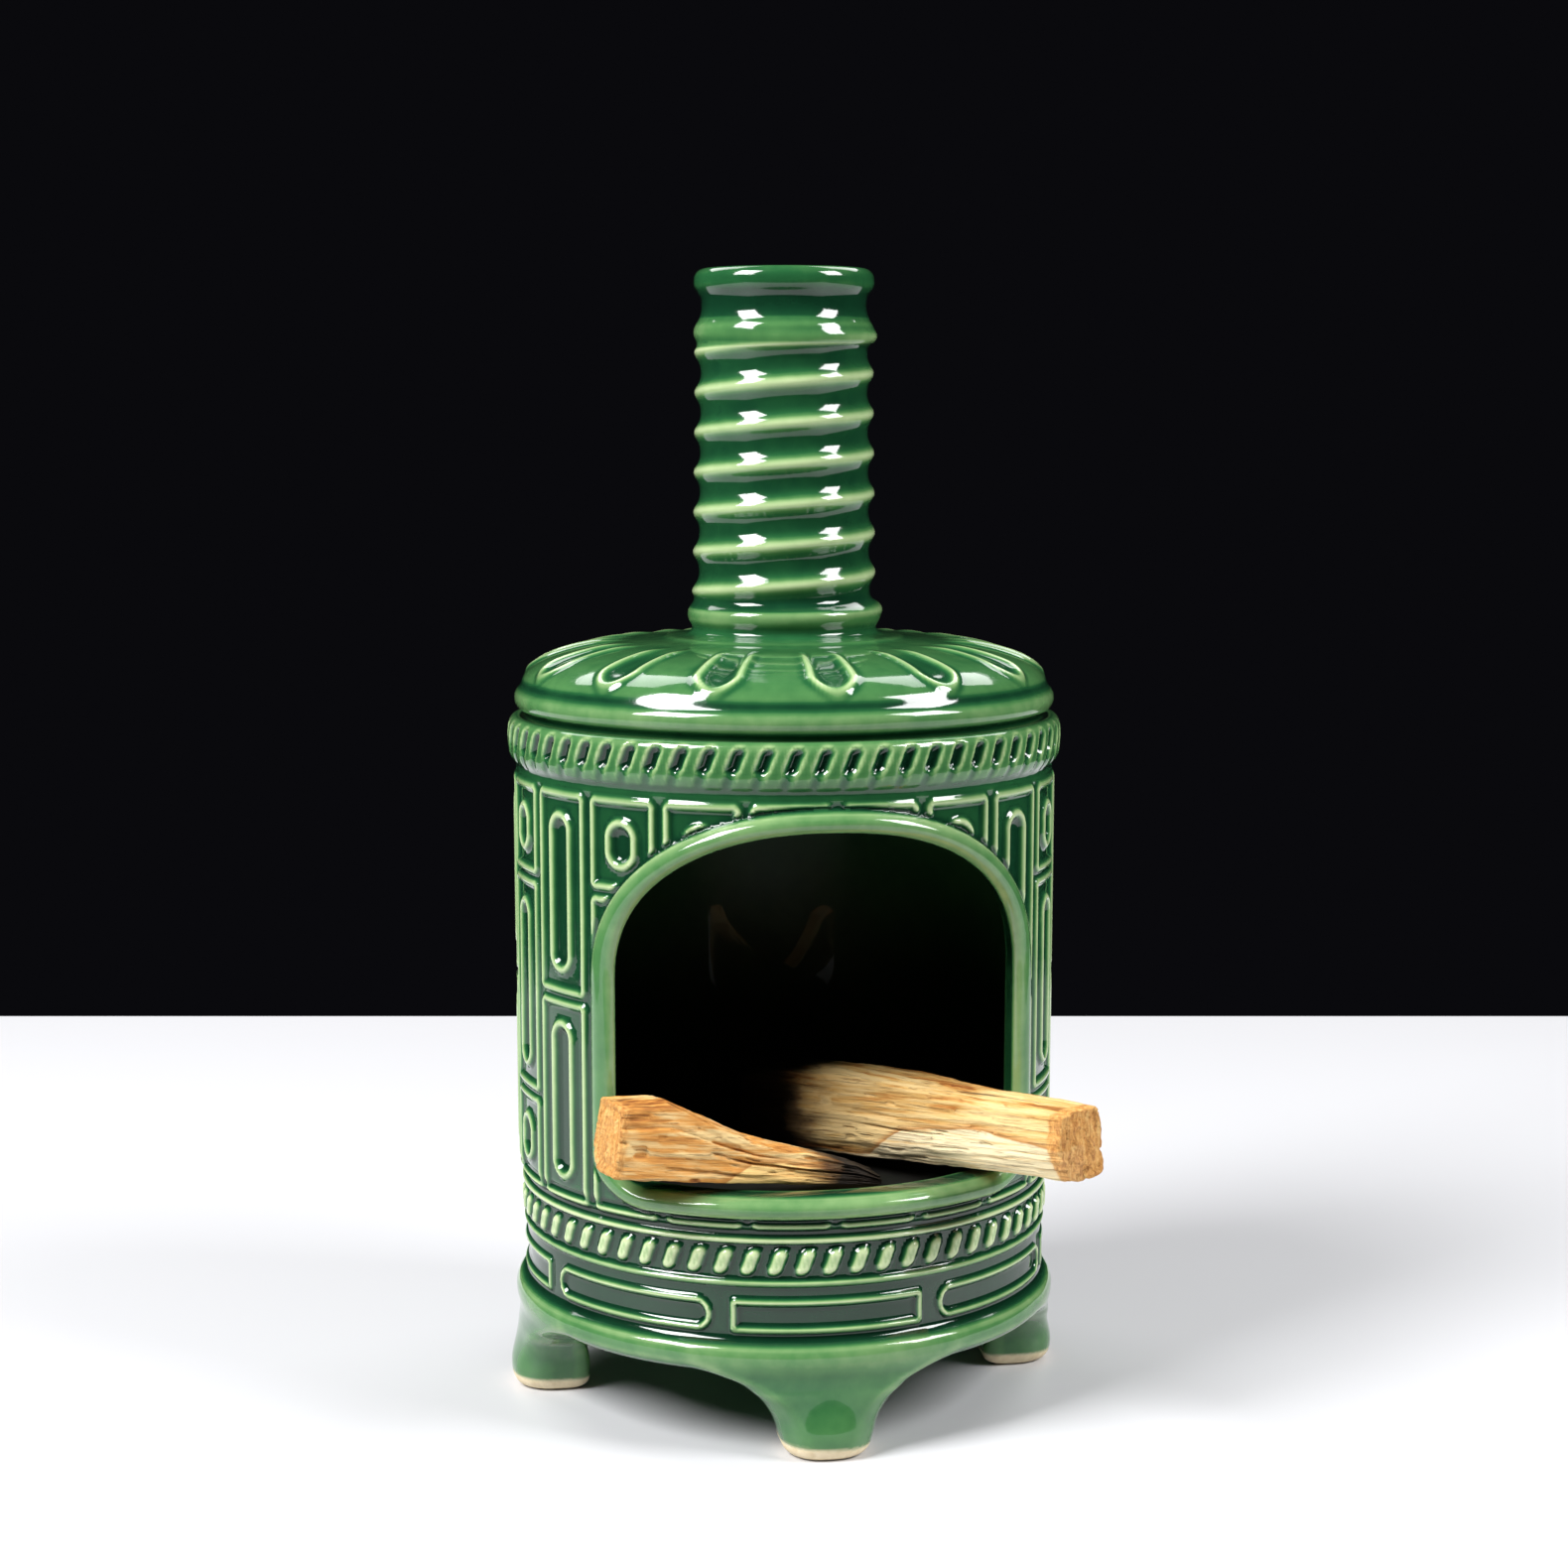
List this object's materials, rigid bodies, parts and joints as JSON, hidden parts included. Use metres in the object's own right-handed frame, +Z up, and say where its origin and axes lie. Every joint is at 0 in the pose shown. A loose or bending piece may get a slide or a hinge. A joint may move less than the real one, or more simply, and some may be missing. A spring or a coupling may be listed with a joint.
{
  "type": "ceramic chiminea incense burner",
  "caption": "Small green-glazed ceramic stove for burning aromatic wood: round firebox with an arched mouth and feet, lift-off dome lid with a ribbed flue, and loose fuel sticks.",
  "frame": {"origin": "on the flue's axis at the level of the four soles", "axes": "+Z up along the flue; the arched mouth faces -Y; +X to the right of someone facing the mouth"},
  "size_m": [0.0854, 0.095, 0.1722],
  "materials": {
    "body_glaze": "glossy translucent green glaze over pale clay, bare soles",
    "lid_glaze": "glossy translucent green glaze over pale clay",
    "charred_wood": "rough split wood, charred at one end",
    "wood": "rough split resinous wood"
  },
  "bodies": {
    "body": {"fire_chamber": "body_glaze"},
    "lid": {"chimney_lid": "lid_glaze"},
    "left_fuel": {"left_stick": "charred_wood"},
    "right_fuel": {"right_stick": "wood"}
  },
  "joints": [
    {"name": "lid_lift", "type": "slide", "parent": "body", "child": "lid", "axis": [0, 0, 1], "range_m": [0, 0.04]},
    {"name": "left_stick_slide", "type": "slide", "parent": "body", "child": "left_fuel", "axis": [-0.9579, -0.2549, 0.1323], "range_m": [0, 0.04]},
    {"name": "right_stick_slide", "type": "slide", "parent": "body", "child": "right_fuel", "axis": [0.5794, -0.8094, 0.0958], "range_m": [0, 0.06]}
  ]
}
